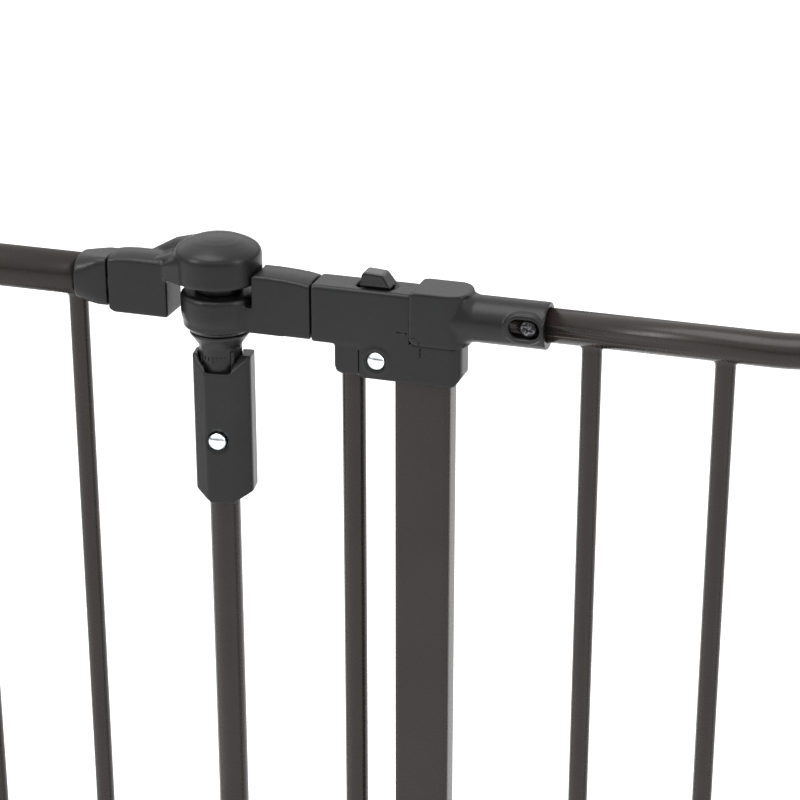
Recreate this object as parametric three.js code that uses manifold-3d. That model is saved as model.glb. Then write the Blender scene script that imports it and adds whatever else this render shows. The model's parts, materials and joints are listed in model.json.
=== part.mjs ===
// Safety baby gate for a wide or cornered opening: a walk-through door section with an
// extension panel swivelling on a joint post at each end. Millimetres, +Z up. The origin is on
// the floor, on the axis of the left joint. The door section runs along +X, the left panel
// carries on straight along -X, and the right panel turns the corner towards +Y.
import * as THREE from "three";
import { mergeVertices } from "three/addons/utils/BufferGeometryUtils.js";
import Module from "manifold-3d";

const wasm = await Module();
wasm.setup();

// Driving dimensions.
const RAIL_Z = 720; // centre line of every top rail
const PANEL_RAIL_R = 11; // extension panel rails, 22 mm tube
const DOOR_RAIL_R = 8.6; // door leaf rails
const BAR_R = 5; // infill bars, 10 mm tube
const SIDE_BAR_R = 6; // bar between the joint and the latch post
const POST_R = 8; // joint posts and wall-side posts, 16 mm tube
const TUBE_WALL = 1.2;
const SPIGOT_R = 9.1; // plugs that enter the panel rails
const BAR_PITCH = 65.3;
const GAP = 0.3; // clearance between pieces that touch on the real gate
const RUN = 0.35; // radial clearance between pieces that turn or slide

const LATCH_POST_X = 109.6;
const SIDE_BAR_X = 71.8;
const FIRST_DOOR_BAR_X = 193.8;
const DOOR_BARS = 7;
const DOOR_MID_X = FIRST_DOOR_BAR_X + (BAR_PITCH * (DOOR_BARS - 1)) / 2;
const HINGE_POST_X = 2 * DOOR_MID_X - LATCH_POST_X;
const RIGHT_JOINT_X = HINGE_POST_X + 77;
const POST_W = 29; // flat posts beside the doorway: width, depth and corner radius
const POST_D = 15;
const POST_CORNER = 3.5;
const SWING_X = HINGE_POST_X - POST_W / 2 - 12.4; // axis that the door swings on

const FIRST_PANEL_BAR_X = -78.2; // panel frame: joint axis at x = 0, panel along -X
const PANEL_BARS = 8;
const PANEL_PITCH = 67;
const END_POST_X = FIRST_PANEL_BAR_X - PANEL_PITCH * PANEL_BARS;
const PANEL_MID_X = FIRST_PANEL_BAR_X - (PANEL_PITCH * (PANEL_BARS - 1)) / 2;
const PANEL_LOW_RAIL_Z = 38;
const ARCH_HALF = 108.3; // the arch in each top rail: half its length, and its bend radius
const ARCH_R = 150;

const ARM_HALF_D = 10; // half depth of the swivel arms and housings
const SEAM_X = 52; // where a lower arm meets its housing
const ARM_SEAM_X = -57.3; // where an upper arm meets its collar
const COLLAR_END_X = -75.2;
const PANEL_RAIL_END = -68.5; // end of the panel rail inside the collar
const DOME_R = 22.3;
const EYE_R = 19.6;
const DOME_Z0 = 5.6; // underside of the dome, and top of the eye below it, from the rail centre
const EYE_TOP = -0.3;
const EYE_LOW = -21.2;
const SHELF_Z = -5; // where the lower arm steps down round the eye
const JOINT_TURN = THREE.MathUtils.degToRad(9); // the way that the joint sleeves face

const THRESHOLD_Z0 = 9.5;
const THRESHOLD_Z1 = 25.5;
const THRESHOLD_HALF_D = 14;
const THRESHOLD_END = 46; // from each joint axis
const DOOR_LOW_RAIL_Z = 52;
const PIN_R = 4; // hinge pins

const SNAP_R = 4.7; // spring buttons
const SNAP_Z = RAIL_Z - 78.5; // height of the button in a joint sleeve
const HOUSING_SNAP_Z = RAIL_Z - 25.5;
const LATCH_SNAP_X = 86.7;
const LATCH_SKIRT_X = 130; // right end of the latch housing's skirt

// Solids.
function solidOf(geometry, matrix = new THREE.Matrix4()) {
  const g = geometry.clone().applyMatrix4(matrix);
  g.deleteAttribute("normal");
  g.deleteAttribute("uv");
  const m = mergeVertices(g, 1e-4);
  return new wasm.Manifold(
    new wasm.Mesh({
      numProp: 3,
      vertProperties: new Float32Array(m.attributes.position.array),
      triVerts: new Uint32Array(m.index.array),
    }),
  );
}

function union(...solids) {
  return solids.reduce((a, b) => a.add(b));
}

function cut(solid, ...tools) {
  return tools.reduce((a, b) => a.subtract(b), solid);
}

function box(x0, x1, y0, y1, z0, z1) {
  const g = new THREE.BoxGeometry(x1 - x0, y1 - y0, z1 - z0);
  const middle = new THREE.Matrix4().makeTranslation((x0 + x1) / 2, (y0 + y1) / 2, (z0 + z1) / 2);
  return solidOf(g, middle);
}

function cylinder(axis, r, from, to, a = 0, b = 0, sides = 20, r2 = r) {
  // From `from` (radius r) to `to` (radius r2) along axis; a and b are the other two coordinates.
  const g = new THREE.CylinderGeometry(r2, r, to - from, sides);
  const m = new THREE.Matrix4();
  const mid = (from + to) / 2;
  if (axis === "z") m.makeRotationX(Math.PI / 2).setPosition(a, b, mid);
  if (axis === "x") m.makeRotationZ(-Math.PI / 2).setPosition(mid, a, b);
  if (axis === "y") m.setPosition(a, mid, b);
  return solidOf(g, m);
}

function tube(axis, r, from, to, a = 0, b = 0, sides = 14, wall = TUBE_WALL) {
  return cut(
    cylinder(axis, r, from, to, a, b, sides),
    cylinder(axis, r - wall, from - 1, to + 1, a, b, sides),
  );
}

function lathe(profile, x = 0, y = 0, z = 0, sides = 20) {
  // profile: [radius, height] pairs that start and end on the axis, going up.
  const points = profile.map(([r, h]) => new THREE.Vector2(r, h));
  const m = new THREE.Matrix4().makeRotationX(Math.PI / 2).setPosition(x, y, z);
  return solidOf(new THREE.LatheGeometry(points, sides), m);
}

function roundedShape(u0, u1, v0, v1, r) {
  const s = new THREE.Shape();
  s.moveTo(u0 + r, v0);
  s.lineTo(u1 - r, v0);
  s.absarc(u1 - r, v0 + r, r, -Math.PI / 2, 0);
  s.lineTo(u1, v1 - r);
  s.absarc(u1 - r, v1 - r, r, 0, Math.PI / 2);
  s.lineTo(u0 + r, v1);
  s.absarc(u0 + r, v1 - r, r, Math.PI / 2, Math.PI);
  s.lineTo(u0, v0 + r);
  s.absarc(u0 + r, v0 + r, r, Math.PI, 1.5 * Math.PI);
  return s;
}

function slab(shape, halfDepth, bevel = 0, curveSegments = 4) {
  // A shape drawn in X and Z, extruded along Y to +-halfDepth, its rims rounded by bevel.
  const g = new THREE.ExtrudeGeometry(shape, {
    depth: 2 * (halfDepth - bevel),
    bevelEnabled: bevel > 0,
    bevelThickness: bevel,
    bevelSize: bevel,
    bevelOffset: -bevel,
    bevelSegments: 1,
    curveSegments,
  });
  const m = new THREE.Matrix4().makeRotationX(Math.PI / 2).setPosition(0, halfDepth - bevel, 0);
  return solidOf(g, m);
}

function upright(shape, z0, z1, curveSegments = 3) {
  // A shape drawn in X and Y, extruded up from z0 to z1.
  const g = new THREE.ExtrudeGeometry(shape, { depth: z1 - z0, bevelEnabled: false, curveSegments });
  return solidOf(g, new THREE.Matrix4().makeTranslation(0, 0, z0));
}

function polygon(points) {
  return new THREE.Shape(points.map(([u, v]) => new THREE.Vector2(u, v)));
}

// A rail's centre line, level at both ends with one raised arch between four equal bends.
class RailPath extends THREE.Curve {
  constructor(x0, x1, midX, bends = 2) {
    super();
    const reach = ARCH_HALF / 2;
    this.bend = Math.asin(reach / ARCH_R);
    this.midX = midX;
    this.knots = [new THREE.Vector3(x0, 0, RAIL_Z)];
    for (let i = 0; i <= 4 * bends; i++) {
      const quarter = Math.min(3, Math.floor(i / bends));
      const angle = (this.bend * (i - quarter * bends)) / bends;
      this.knots.push(this.onArch(quarter, angle));
    }
    this.knots.push(new THREE.Vector3(x1, 0, RAIL_Z));
  }

  onArch(quarter, angle) {
    const rise = ARCH_R * (1 - Math.cos(this.bend));
    const a = quarter % 2 === 0 ? angle : this.bend - angle;
    const along = ARCH_R * Math.sin(a);
    const up = ARCH_R * (1 - Math.cos(a));
    const x = [-ARCH_HALF + along, -along, along, ARCH_HALF - along][quarter];
    const z = quarter === 0 || quarter === 3 ? up : 2 * rise - up;
    return new THREE.Vector3(this.midX + x, 0, RAIL_Z + z);
  }

  getUtoTmapping(u) {
    return u; // the knots are the steps, so that the straight ends take one step each
  }

  getPoint(t, target = new THREE.Vector3()) {
    const s = Math.min(Math.max(t, 0), 1) * (this.knots.length - 1);
    const i = Math.min(Math.floor(s), this.knots.length - 2);
    return target.lerpVectors(this.knots[i], this.knots[i + 1], s - i);
  }
}

function archedRail(x0, x1, midX, r, sides = 12) {
  // An ExtrudeGeometry gives a full circle two steps per curve segment.
  const path = new RailPath(x0, x1, midX);
  const sweep = (radius) => {
    const ring = new THREE.Shape();
    ring.absarc(0, 0, radius, 0, 2 * Math.PI);
    const g = new THREE.ExtrudeGeometry(ring, {
      steps: path.knots.length - 1,
      extrudePath: path,
      curveSegments: sides / 2,
    });
    return solidOf(g);
  };
  return { tube: cut(sweep(r), sweep(r - TUBE_WALL)), clearance: sweep(r + GAP) };
}

function infillBar(x, z0, rail, r = BAR_R) {
  // A vertical bar whose top is notched round the rail above it.
  return cut(tube("z", r, z0, RAIL_Z + 2 * PANEL_RAIL_R, x, 0, 8, 1), rail, aboveRail(x, rail));
}

function aboveRail(x, rail) {
  // What is left of a bar above its rail: a box from the rail's own mid height upwards.
  const top = rail.boundingBox().max[2] + 5;
  const slice = rail.intersect(box(x - 1, x + 1, -1, 1, RAIL_Z - 50, top));
  const b = slice.boundingBox();
  return box(x - 12, x + 12, -12, 12, (b.min[2] + b.max[2]) / 2, top + 60);
}

// Materials.
const plastic = new THREE.MeshStandardMaterial({ color: 0x2a2b2d, roughness: 0.5, metalness: 0 });
const gloss = new THREE.MeshStandardMaterial({ color: 0x151517, roughness: 0.22, metalness: 0 });
const bronze = new THREE.MeshStandardMaterial({ color: 0x342e2b, roughness: 0.38, metalness: 0.3 });
const zinc = new THREE.MeshStandardMaterial({ color: 0xc9d2d6, roughness: 0.18, metalness: 1 });
const blackScrew = new THREE.MeshStandardMaterial({ color: 0x1b1b1d, roughness: 0.3, metalness: 0.8 });
const rubber = new THREE.MeshStandardMaterial({ color: 0x202022, roughness: 0.85, metalness: 0 });

function piece(name, solid, material) {
  const m = solid.getMesh();
  const g = new THREE.BufferGeometry();
  g.setAttribute("position", new THREE.BufferAttribute(new Float32Array(m.vertProperties), 3));
  g.setIndex(new THREE.BufferAttribute(new Uint32Array(m.triVerts), 1));
  g.computeVertexNormals();
  const mesh = new THREE.Mesh(g, material);
  mesh.name = name;
  return mesh;
}

// Swivel joint, frame side: eye and arm towards +X, heights relative to the rail's centre line.
function lowerArm() {
  const disc = lathe([
    [0, EYE_LOW], [16.4, EYE_LOW], [17.2, EYE_LOW + 1], [18.6, -15], [EYE_R, -11],
    [EYE_R, EYE_TOP - 2.4],
    [EYE_R - 0.8, EYE_TOP - 0.7], [EYE_R - 2.5, EYE_TOP], [0, EYE_TOP],
  ]);
  const side = new THREE.Shape();
  side.moveTo(0, -18.3);
  side.lineTo(SEAM_X - 2, -18.3);
  side.lineTo(SEAM_X, -16.3);
  side.lineTo(SEAM_X, 9.6);
  side.quadraticCurveTo(38, 12.4, 20, 12.8);
  side.lineTo(20, SHELF_Z - 0.5);
  side.lineTo(0, SHELF_Z - 0.5);
  side.closePath();
  const arm = cut(slab(side, ARM_HALF_D, 1.6, 3), cylinder("z", DOME_R + 1.1, SHELF_Z, 40, 0, 0, 24));
  return cut(
    union(disc, arm),
    cylinder("z", POST_R + GAP, -40, 30, 0, 0, 16),
  ).add(cylinder("x", 7, SEAM_X - 1, SEAM_X + 9, 0, -4, 12));
}

// Swivel joint, panel side: dome and arm towards -X.
function upperArm() {
  const dome = lathe([
    [0, DOME_Z0], [DOME_R - 0.8, DOME_Z0], [DOME_R, DOME_Z0 + 1], [DOME_R, 19], [21.2, 21.9],
    [18.4, 24.7], [12.5, 27.2], [0, 28.5],
  ], 0, 0, 0, 24);
  const side = new THREE.Shape();
  side.moveTo(0, DOME_Z0);
  side.lineTo(-24.8, 4.4);
  side.lineTo(-24.8, -15.6);
  side.lineTo(ARM_SEAM_X + 3.5, -15.6);
  side.lineTo(ARM_SEAM_X, -12.6);
  side.lineTo(ARM_SEAM_X, 11.6);
  side.quadraticCurveTo(-44, 14.6, -30, 14.4);
  side.lineTo(0, 13.6);
  side.closePath();
  const ridge = new THREE.Shape();
  ridge.moveTo(-41, 10);
  ridge.lineTo(-39.5, 15.5);
  ridge.quadraticCurveTo(-30, 22.6, -12, 26);
  ridge.lineTo(0, 27);
  ridge.lineTo(0, 8);
  ridge.closePath();
  const tail = slab(ridge, 5, 2.5, 3).translate([0, 5, 0]);
  const neck = polygon([[-29, -10], [-10.2, -19.7], [0, -19.7], [0, 19.7], [-10.2, 19.7], [-29, 10]]);
  const web = upright(neck, DOME_Z0, 13.5);
  const spigot = cylinder("x", SPIGOT_R, -95, ARM_SEAM_X + 1, 0, 0, 12);
  return cut(
    union(dome, slab(side, ARM_HALF_D, 1.6, 3), tail, web, spigot),
    cylinder("z", POST_R + RUN, -30, 19, 0, 0, 16),
    cylinder("z", EYE_R + 1.2, -30, DOME_Z0, 0, 0, 24),
  );
}

// Moulded ferrule between a panel's top rail and its swivel arm.
function collar() {
  const body = loft([
    [COLLAR_END_X, 12.2, 12.2, 12],
    [-68, 12, 13.1, 8],
    [ARM_SEAM_X - GAP, 10.6, 13.4, 3],
  ]);
  return cut(
    body,
    cylinder("x", PANEL_RAIL_R + GAP, COLLAR_END_X - 1, PANEL_RAIL_END + GAP, 0, 0, 14),
    cylinder("x", PANEL_RAIL_R - TUBE_WALL, -72, -50, 0, 0, 14),
  );
}

function loft(sections) {
  // A solid along X through rounded rectangles: each is [x, half width, half height, corner].
  const perCorner = 5;
  const around = 4 * perCorner;
  const positions = [];
  for (const [x, halfY, halfZ, corner] of sections) {
    for (let i = 0; i < around; i++) {
      const quarter = Math.floor(i / perCorner);
      const angle = ((quarter + (i % perCorner) / (perCorner - 1)) * Math.PI) / 2;
      const signY = quarter === 0 || quarter === 3 ? 1 : -1;
      const signZ = quarter < 2 ? 1 : -1;
      const y = signY * (halfY - corner) + corner * Math.cos(angle);
      positions.push(x, y, signZ * (halfZ - corner) + corner * Math.sin(angle));
    }
  }
  const last = (sections.length - 1) * around;
  const index = [];
  for (let i = 1; i < around - 1; i++) {
    index.push(0, i + 1, i, last, last + i, last + i + 1);
  }
  for (let k = 0; k < last; k += around) {
    for (let i = 0; i < around; i++) {
      const j = (i + 1) % around;
      index.push(k + i, k + j, k + around + i, k + j, k + around + j, k + around + i);
    }
  }
  const g = new THREE.BufferGeometry();
  g.setAttribute("position", new THREE.Float32BufferAttribute(positions, 3));
  g.setIndex(index);
  return solidOf(g);
}

// Pivot spindle: a shaft inside both eyes, a cone under the lower one and a neck in the sleeve.
function spindle() {
  return lathe([
    [0, -60], [POST_R + 3.4, -60], [POST_R + 3.4, -28.6], [15.4, -23.4], [15.9, -22.6],
    [15.9, EYE_LOW - GAP], [POST_R, EYE_LOW - GAP], [POST_R, EYE_TOP + GAP], [12.2, EYE_TOP + GAP],
    [12.2, DOME_Z0 - GAP], [POST_R, DOME_Z0 - GAP],
    [POST_R, 18], [0, 18],
  ], 0, 0, 0, 16);
}

// Moulded sleeve that locks the spindle to the joint post, seen from above as a long octagon.
function sleeve() {
  const outline = polygon([
    [-14.3, -5.5], [-8.8, -11], [-6.4, -13.2], [7.8, -13.2], [10.2, -11], [16.2, -5.5],
    [16.2, 5.5], [10.2, 11], [7.8, 13.2], [-6.4, 13.2], [-8.8, 11], [-14.3, 5.5],
  ]);
  const body = upright(outline, -113.7, -33.8);
  const notch = slab(polygon([[-6, -42], [7.8, -42], [12, -30], [-10.5, -30]]), 20);
  const notches = cut(notch, box(-30, 30, -8, 8, -60, 0));
  const skirtCut = (s) =>
    slab(polygon([[s * 19, -107.5], [s * 19, -116], [s * 8, -116], [s * 8, -112.3]]), 15);
  return cut(
    body,
    notches,
    skirtCut(1),
    skirtCut(-1),
    cylinder("z", POST_R + 3.4 + GAP, -60.4, -20, 0, 0, 24),
    cylinder("z", POST_R + GAP, -120, -50, 0, 0, 20),
    cylinder("y", SNAP_R + 0.6, -20, 0, 0, SNAP_Z - RAIL_Z, 20),
  );
}

// Spring button: a domed head on a short shank, pointing towards -Y, with a rim inside the tube.
function snapButton(reach, depth) {
  const points = [
    [0, 0], [SNAP_R + 0.5, 0], [SNAP_R + 0.5, 0.8], [SNAP_R, 0.8],
    [SNAP_R, reach - 2], [3.5, reach - 0.7], [0, reach],
  ].map(([r, h]) => new THREE.Vector2(r, h));
  const g = new THREE.LatheGeometry(points, 14);
  return solidOf(g, new THREE.Matrix4().makeRotationX(Math.PI).setPosition(0, -depth, 0));
}

function jointPost() {
  const post = tube("z", POST_R, 3.3, RAIL_Z - 60.5, 0, 0, 16);
  return cut(post, cylinder("y", SNAP_R + GAP, -20, 0, 0, SNAP_Z, 20));
}

function foot(r = POST_R) {
  const puck = lathe([[0, 0], [14.4, 0], [16, 1.5], [16, 9], [0, 9]], 0, 0, 0, 16);
  return cut(puck, cylinder("z", r + GAP, 3, 12, 0, 0, 16));
}

function frameBottomEye() {
  const eye = lathe([[0, 9.3], [17, 9.3], [18, 10.3], [18, 26], [17, 27], [0, 27]], 0, 0, 0, 20);
  const arm = box(0, THRESHOLD_END - GAP, -THRESHOLD_HALF_D, THRESHOLD_HALF_D, 9.5, 27);
  const plug = box(THRESHOLD_END - 1, THRESHOLD_END + 18, -12, 12, 11.5, 23.5);
  return cut(union(eye, arm, plug), cylinder("z", POST_R + GAP, 0, 40, 0, 0, 16));
}

function panelBottomEye() {
  const eye = lathe([[0, 27.4], [15, 27.4], [16, 28.4], [16, 47], [15, 48], [0, 48]], 0, 0, 0, 20);
  const arm = slab(roundedShape(ARM_SEAM_X, 0, 27.6, 47.8, 2), ARM_HALF_D, 1.5, 2);
  const plug = cylinder("x", SPIGOT_R, -85, ARM_SEAM_X + 1, 0, PANEL_LOW_RAIL_Z, 14);
  return cut(union(eye, arm, plug), cylinder("z", POST_R + RUN, 20, 60, 0, 0, 16));
}

// Frame-side pieces of one joint. turn is the way its arms point, as an angle about Z.
function jointGroup(side, x, turn) {
  const group = new THREE.Group();
  group.position.set(x, 0, 0);
  const arm = piece(side + "_lower_arm", lowerArm(), plastic);
  arm.position.z = RAIL_Z;
  arm.rotation.z = turn;
  const pivot = piece(side + "_pivot_spindle", spindle(), plastic);
  pivot.position.z = RAIL_Z;
  const lock = piece(side + "_post_sleeve", sleeve(), plastic);
  lock.position.z = RAIL_Z;
  const button = piece(side + "_snap_button", snapButton(12.6, 3), zinc);
  button.position.z = SNAP_Z;
  const post = piece(side + "_joint_post", jointPost(), bronze);
  [lock, button, post].forEach((m) => (m.rotation.z = JOINT_TURN));
  const eye = piece(side + "_bottom_eye", frameBottomEye(), plastic);
  eye.rotation.z = turn;
  group.add(
    arm,
    pivot,
    lock,
    button,
    eye,
    post,
    piece(side + "_foot", foot(), rubber),
  );
  return group;
}

// Wall bracket: a plate with two screw holes and an eye round the wall-side post.
function wallBracket(z) {
  const plateX = END_POST_X - 34;
  const plate = slab(roundedShape(-20, 20, z - 30, z + 30, 6), 3, 0.8, 2);
  const turned = plate.rotate([0, 0, 90]).translate([plateX + 3, 0, 0]);
  const neck = box(plateX + 5, END_POST_X - 6, -6, 6, z - 9, z + 9);
  const eye = cylinder("z", 12.5, z - 9, z + 9, END_POST_X, 0, 16);
  const hole = (dz) => cylinder("x", 2.4, plateX - 1, plateX + 8, 0, z + dz, 10);
  return cut(
    union(turned, neck, eye),
    cylinder("z", POST_R + RUN, z - 12, z + 12, END_POST_X, 0, 16),
    hole(-20),
    hole(20),
  );
}

function panelGroup(side, x, turn) {
  const group = new THREE.Group();
  group.position.set(x, 0, 0);
  group.rotation.z = turn;
  const rail = archedRail(END_POST_X - 12, PANEL_RAIL_END, PANEL_MID_X, PANEL_RAIL_R);
  const lowRail = tube("x", PANEL_RAIL_R, END_POST_X + POST_R + GAP, ARM_SEAM_X - GAP, 0, PANEL_LOW_RAIL_Z);
  const railBore = cylinder("x", PANEL_RAIL_R - TUBE_WALL, END_POST_X, 0, 0, PANEL_LOW_RAIL_Z, 14);
  const bars = [];
  for (let i = 0; i < PANEL_BARS; i++) {
    const barX = FIRST_PANEL_BAR_X - PANEL_PITCH * i;
    bars.push(cut(infillBar(barX, PANEL_LOW_RAIL_Z + 6, rail.clearance), railBore));
  }
  const collarPiece = piece(side + "_collar", collar().subtract(firstBarRoom()), plastic);
  collarPiece.position.z = RAIL_Z;
  const arm = piece(side + "_upper_arm", upperArm(), plastic);
  arm.position.z = RAIL_Z;
  const post = cut(
    tube("z", POST_R, 3.3, RAIL_Z, END_POST_X, 0, 16),
    rail.clearance,
    aboveRail(END_POST_X, rail.clearance),
  );
  const endFoot = piece(side + "_end_foot", foot(), rubber);
  endFoot.position.x = END_POST_X;
  group.add(
    piece(side + "_top_rail", rail.tube, bronze),
    piece(side + "_bar_grille", union(lowRail, ...bars), bronze),
    piece(side + "_end_post", post, bronze),
    collarPiece,
    arm,
    piece(side + "_panel_bottom_eye", panelBottomEye(), plastic),
    endFoot,
    piece(side + "_wall_bracket_top", wallBracket(RAIL_Z - 60), plastic),
    piece(side + "_wall_bracket_bottom", wallBracket(130), plastic),
  );
  return group;
}

function firstBarRoom() {
  return cylinder("z", BAR_R + GAP, -60, 0, FIRST_PANEL_BAR_X, 0, 16);
}

// Latch housing: long block with a skirt over the side bar and the latch post.
function latchHousing() {
  const side = new THREE.Shape();
  side.moveTo(SEAM_X + 3.5, -19.1);
  side.lineTo(65.2, -19.1);
  side.lineTo(65.2, -31);
  side.lineTo(68, -34);
  side.lineTo(81, -36);
  side.lineTo(LATCH_SKIRT_X - 4, -36);
  side.lineTo(LATCH_SKIRT_X, -31.5);
  side.lineTo(LATCH_SKIRT_X, -15);
  side.lineTo(103.2, -15);
  side.lineTo(103.2, 11);
  side.lineTo(SEAM_X + 2.3, 11);
  side.lineTo(SEAM_X + 0.6, 9.3);
  side.lineTo(SEAM_X + 0.6, -16.5);
  side.closePath();
  const tongue = box(107, 124, -7.5, 7.5, -16, -3);
  const slot = box(77.6, 78.4, -11, -7.5, -37, -20);
  const sliderBay = box(70, 104, -4, 4, -2, 7.5);
  const thumbSlot = box(74.2, 92.6, -4.2, 4.2, 5, 14);
  const snapTube = cylinder("y", SNAP_R + RUN, -12, -4, LATCH_SNAP_X, HOUSING_SNAP_Z - RAIL_Z, 18);
  const snapBay = cylinder("y", SNAP_R + 1.2, -5.5, 5, LATCH_SNAP_X, HOUSING_SNAP_Z - RAIL_Z, 18);
  return cut(
    union(slab(side, ARM_HALF_D, 1.6, 3), tongue),
    slot,
    sliderBay,
    thumbSlot,
    snapTube,
    snapBay,
    cylinder("x", 7 + GAP, SEAM_X - 1, SEAM_X + 9.5, 0, -4, 12),
    cylinder("z", SIDE_BAR_R + GAP, -60, -19, SIDE_BAR_X, 0, 16),
    upright(postOutline(LATCH_POST_X, GAP), -60, -19),
  );
}

function postOutline(x, grow = 0) {
  const w = POST_W / 2 + grow;
  const d = POST_D / 2 + grow;
  return roundedShape(x - w, x + w, -d, d, POST_CORNER);
}

function doorwayPost(x) {
  const inner = POST_W / 2 - TUBE_WALL;
  const innerD = POST_D / 2 - TUBE_WALL;
  const hollow = roundedShape(x - inner, x + inner, -innerD, innerD, POST_CORNER - TUBE_WALL);
  const z0 = THRESHOLD_Z1 + GAP;
  return cut(upright(postOutline(x), z0, RAIL_Z - 19.5), upright(hollow, 0, RAIL_Z));
}

// Hinge housing, drawn for a joint at its right: block, skirt over the post and a shelf for the pin.
function hingeHousing() {
  const seam = RIGHT_JOINT_X - SEAM_X;
  const side = polygon([
    [seam - 3.5, -19.1], [HINGE_POST_X + 20, -19.1], [HINGE_POST_X + 20, -31],
    [HINGE_POST_X + 17, -36], [SWING_X - 8, -36], [SWING_X - 13, -29], [SWING_X - 13, -15],
    [SWING_X, -15], [SWING_X, 11], [seam - 2.3, 11], [seam - 0.6, 9.3], [seam - 0.6, -16.5],
  ]);
  const snapX = HINGE_POST_X + 3;
  return cut(
    slab(side, ARM_HALF_D, 1.6, 3),
    cylinder("z", 16.5, -14.9, 20, SWING_X, 0, 24),
    cylinder("z", PIN_R + GAP, -32, -10, SWING_X, 0, 16),
    cylinder("x", 7 + GAP, seam - 9.5, seam + 1, 0, -4, 12),
    upright(postOutline(HINGE_POST_X, GAP), -60, -19),
    cylinder("y", SNAP_R + RUN, -12, -4, snapX, 2, 18),
    cylinder("y", SNAP_R + 1.2, -5.5, 5, snapX, 2, 18),
  );
}

// Thumb slider: grip above the housing, stem through its slot and a bolt that enters the cap.
function lockSlider() {
  const grip = new THREE.Shape();
  grip.moveTo(76.4, 11.3);
  grip.lineTo(78.4, 18.2);
  grip.quadraticCurveTo(83.5, 17, 88.8, 17.8);
  grip.lineTo(93.2, 11.3);
  grip.closePath();
  const stem = box(79, 92, -3.8, 3.8, 5.5, 12);
  const bolt = box(77.6, 107.6, -3.5, 3.5, -1, 6.6);
  return cut(union(slab(grip, 5.6, 1, 4), stem, bolt), cylinder("x", 2.2, 70, 93, 0, 2.6, 12));
}

function lockSpring() {
  // Compression spring behind the bolt, in its bore.
  const turns = 3;
  const length = 15; // its pressed length
  const helix = new (class extends THREE.Curve {
    getPoint(t, target = new THREE.Vector3()) {
      const a = 2 * Math.PI * turns * t;
      return target.set(71.2 + length * t, 1.5 * Math.cos(a), 2.6 + 1.5 * Math.sin(a));
    }
  })();
  const wire = new THREE.Shape();
  wire.absarc(0, 0, 0.35, 0, 2 * Math.PI);
  return solidOf(
    new THREE.ExtrudeGeometry(wire, { steps: turns * 8, extrudePath: helix, curveSegments: 3 }),
  );
}

// Cap on the latch end of the door's top rail: hood over the housing's tongue, and a sleeve.
function latchCap() {
  const hood = new THREE.Shape();
  hood.moveTo(107.8, -14.5);
  hood.lineTo(131.4, -14.5);
  hood.lineTo(133.6, -11);
  hood.lineTo(133.6, 9);
  hood.lineTo(130, 13.2);
  hood.lineTo(106.4, 13.2);
  hood.lineTo(103.8, 10.6);
  hood.lineTo(103.8, -10.5);
  hood.lineTo(105, -13.3);
  hood.closePath();
  const sleeveTube = cylinder("x", 11.8, 127, 172.3, 0, -0.6, 20);
  const slotShape = roundedShape(153.5, 170.5, -4.6, 6, 5.2);
  const slot = slab(slotShape, 4, 0, 5).translate([0, -11, 0]);
  return cut(
    union(slab(hood, 12, 2, 3), sleeveTube),
    box(106, 125.4, -8.4, 8.4, -16, 0),
    box(100, 110, -4.2, 4.2, -16, 7.4),
    cylinder("x", DOOR_RAIL_R + GAP, 138, 180, 0, 0, 14),
    slot,
  );
}

// Pan-head screw through the slot into the rail.
function adjustingScrew(x) {
  const points = [[0, 0], [2.2, 0], [2.2, 7], [4, 7], [4, 8.2], [3, 9.2], [0, 9.5]].map(
    ([r, h]) => new THREE.Vector2(r, h),
  );
  const g = new THREE.LatheGeometry(points, 16);
  const screw = solidOf(g, new THREE.Matrix4().makeRotationX(Math.PI).setPosition(x, -2.2, 0));
  const cross = union(
    box(x - 2.2, x + 2.2, -13, -10, -0.5, 0.5),
    box(x - 0.5, x + 0.5, -13, -10, -2.2, 2.2),
  );
  return cut(screw, cross);
}

// Cap on the hinge end of the door's top rail: an upright knuckle on the top pin, and a sleeve.
function hingeCap() {
  const knuckle = lathe([
    [0, -14.4], [12.5, -14.4], [13.3, -13.4], [13.3, 9], [11.6, 12], [8, 13.2], [0, 13.2],
  ], SWING_X, 0, 0, 28);
  const sleeveTube = cylinder("x", 12.3, SWING_X - 47, SWING_X - 4, 0, -0.6, 20);
  return cut(
    union(knuckle, sleeveTube),
    cylinder("z", PIN_R + RUN, -20, 9.6, SWING_X, 0, 16),
    cylinder("x", DOOR_RAIL_R + GAP, SWING_X - 60, SWING_X - 15, 0, 0, 18),
  );
}

function lowHingeCap() {
  const knuckle = [[0, 34.6], [10.5, 34.6], [11.3, 35.6], [11.3, 61], [10, 63], [0, 63]];
  const eye = lathe(knuckle, SWING_X, 0, 0, 24);
  const sleeveTube = cylinder("x", 11, SWING_X - 40, SWING_X - 3, 0, DOOR_LOW_RAIL_Z, 18);
  return cut(
    union(eye, sleeveTube),
    cylinder("z", PIN_R + RUN, 30, 58.5, SWING_X, 0, 16),
    cylinder("x", DOOR_RAIL_R + GAP, SWING_X - 50, SWING_X - 12.5, 0, DOOR_LOW_RAIL_Z, 18),
  );
}

// Cap on the latch end of the door's bottom rail, with the lug that drops into the catch.
function lowLatchCap() {
  const body = slab(roundedShape(143, 163, 40, 63, 3), 11, 1.5, 3);
  const sleeveTube = cylinder("x", 11, 158, 178, 0, DOOR_LOW_RAIL_Z, 18);
  const lug = box(146, 158, -4.6, 4.6, 31, 42);
  return cut(
    union(body, sleeveTube, lug),
    cylinder("x", DOOR_RAIL_R + GAP, 160, 190, 0, DOOR_LOW_RAIL_Z, 18),
  );
}

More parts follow.
